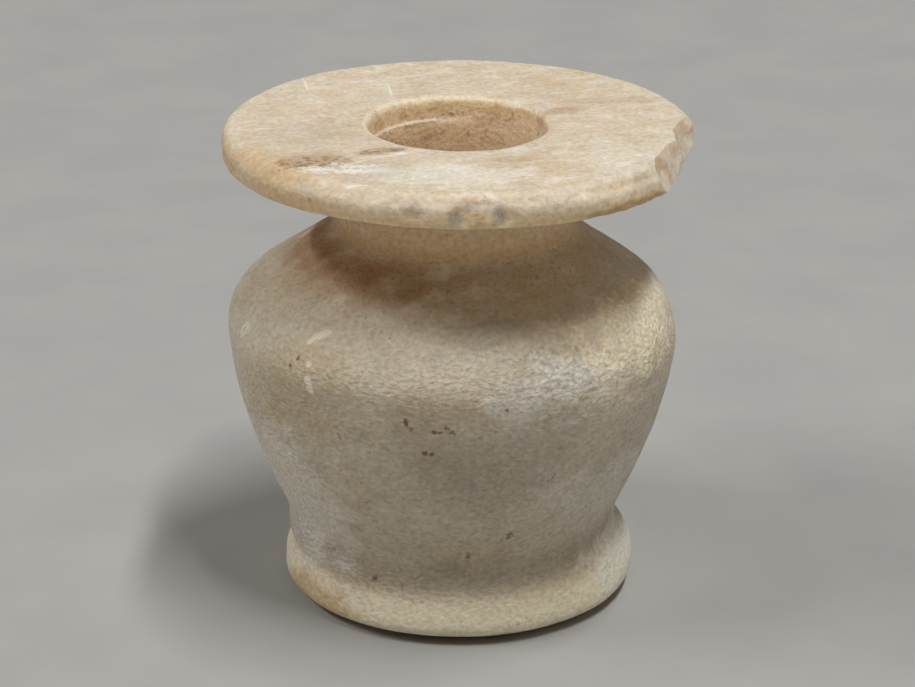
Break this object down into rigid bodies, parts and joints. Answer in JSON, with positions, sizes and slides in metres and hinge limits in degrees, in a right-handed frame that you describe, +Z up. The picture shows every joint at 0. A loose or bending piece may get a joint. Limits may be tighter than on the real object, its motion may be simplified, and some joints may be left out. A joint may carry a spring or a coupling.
{
  "type": "kohl pot",
  "caption": "Squat stone kohl pot with a wide flat rim, narrow neck, sloping shoulder, tapering body, disc foot and a drilled bore; rim flaked on one side.",
  "frame": {"origin": "middle of the flat underside of the foot, on the surface the pot stands on", "axes": "+Z up along the turned axis; the side seen in the picture faces -Y and the flaked side of the rim is at +X"},
  "size_m": [0.0439, 0.044, 0.0453],
  "materials": {
    "pale_calcite": "worn matt calcite with stains"
  },
  "bodies": {
    "root": {"kohl_pot": "pale_calcite"}
  },
  "joints": []
}
